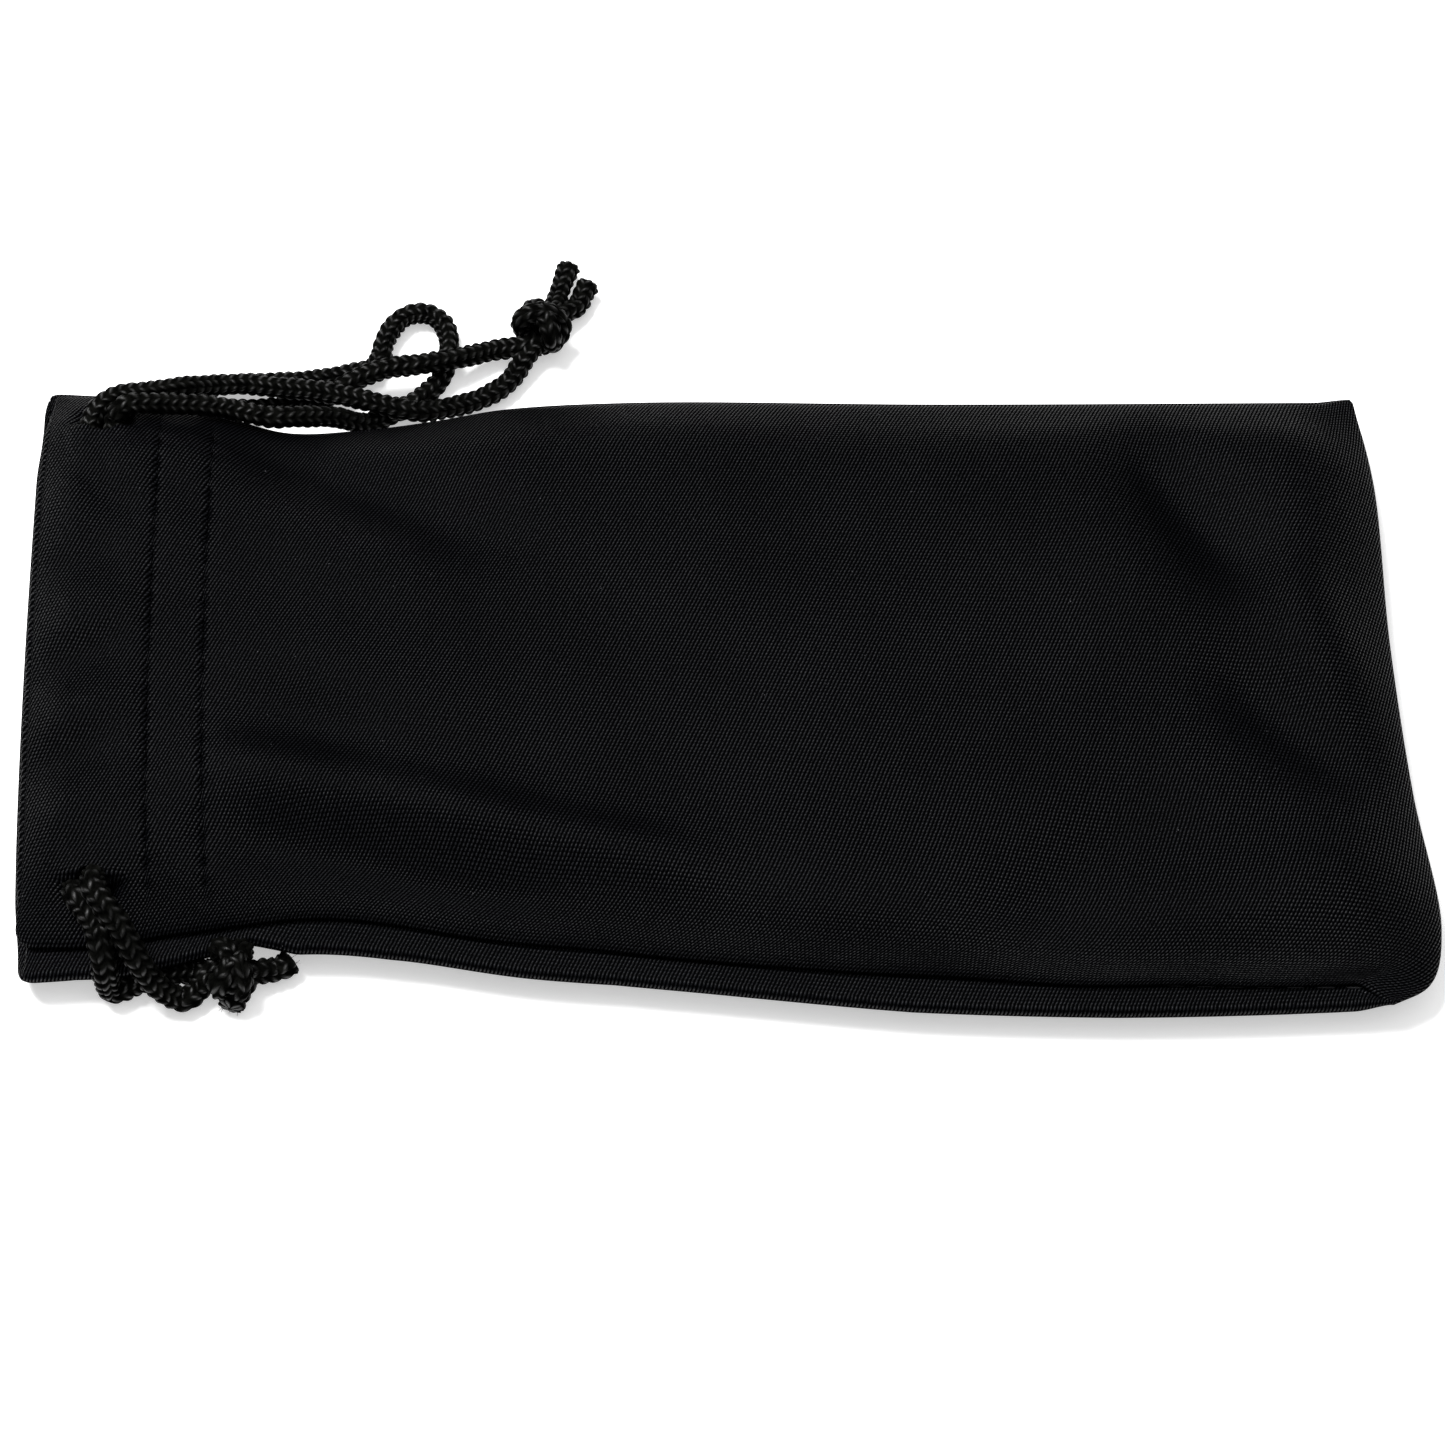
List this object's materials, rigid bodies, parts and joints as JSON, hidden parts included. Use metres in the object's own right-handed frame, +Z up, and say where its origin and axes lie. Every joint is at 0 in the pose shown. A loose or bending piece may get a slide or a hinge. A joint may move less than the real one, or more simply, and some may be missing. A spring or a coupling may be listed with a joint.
{
  "type": "soft drawstring glasses pouch",
  "caption": "Soft black microfibre pouch for glasses, lying flat, its hemmed mouth drawn in by knotted knitted cords that leave it by a hole near each side.",
  "frame": {"origin": "on the surface that the pouch lies on, below the middle of the cloth's box", "axes": "+X from the mouth to the closed end, +Y to the far side seam, +Z up through the front panel"},
  "size_m": [0.1813, 0.1141, 0.0146],
  "materials": {
    "cloth": "fine twill microfibre with a soft sheen",
    "cord": "knitted cord, slightly glossy",
    "thread": "polyester sewing thread"
  },
  "bodies": {
    "pouch": {"front_panel": "cloth", "back_panel": "cloth", "front_mouth_hem": "cloth", "back_mouth_hem": "cloth", "front_casing_stitch": "thread", "back_casing_stitch": "thread", "front_hem_stitch": "thread", "back_hem_stitch": "thread", "cord_a_back_run": "cord", "cord_b_back_run": "cord"},
    "near_side": {"near_seam_allowance": "cloth", "near_seam_thread": "thread", "cord_b_turn": "cord"},
    "far_side": {"far_seam_allowance": "cloth", "far_seam_thread": "thread", "cord_a_turn": "cord"},
    "cord_a": {"cord_a_front_run": "cord", "cord_a_bight": "cord", "cord_a_front_strand": "cord", "cord_a_back_strand": "cord", "cord_a_knot": "cord", "cord_a_tail_1": "cord", "cord_a_tail_2": "cord"},
    "cord_b": {"cord_b_front_run": "cord", "cord_b_bight": "cord", "cord_b_front_strand": "cord", "cord_b_back_strand": "cord", "cord_b_knot": "cord", "cord_b_tail_1": "cord", "cord_b_tail_2": "cord"}
  },
  "joints": [
    {"name": "cord_a_pull", "type": "slide", "parent": "pouch", "child": "cord_a", "axis": [0, 1, 0], "range_m": [0, 0.018], "deforming": ["front_mouth_hem", "back_mouth_hem", "cord_a_back_run", "cord_a_turn"]},
    {"name": "cord_b_pull", "type": "slide", "parent": "pouch", "child": "cord_b", "axis": [0, -1, 0], "range_m": [0, 0.018], "deforming": ["front_mouth_hem", "back_mouth_hem", "cord_b_back_run", "cord_b_turn"]},
    {"name": "near_side_draw", "type": "hinge", "parent": "pouch", "child": "near_side", "pos_m": [0.086, -0.044, 0.0055], "axis": [0, 0, -1], "range_deg": [0, 6.25]},
    {"name": "far_side_draw", "type": "hinge", "parent": "pouch", "child": "far_side", "pos_m": [0.086, 0.043, 0.0055], "axis": [0, 0, 1], "range_deg": [0, 6.25]}
  ],
  "couplings": [
    {"joint": "near_side_draw", "follows": "cord_a_pull", "rad_per_m": 6.03},
    {"joint": "far_side_draw", "follows": "cord_b_pull", "rad_per_m": 6.03}
  ]
}
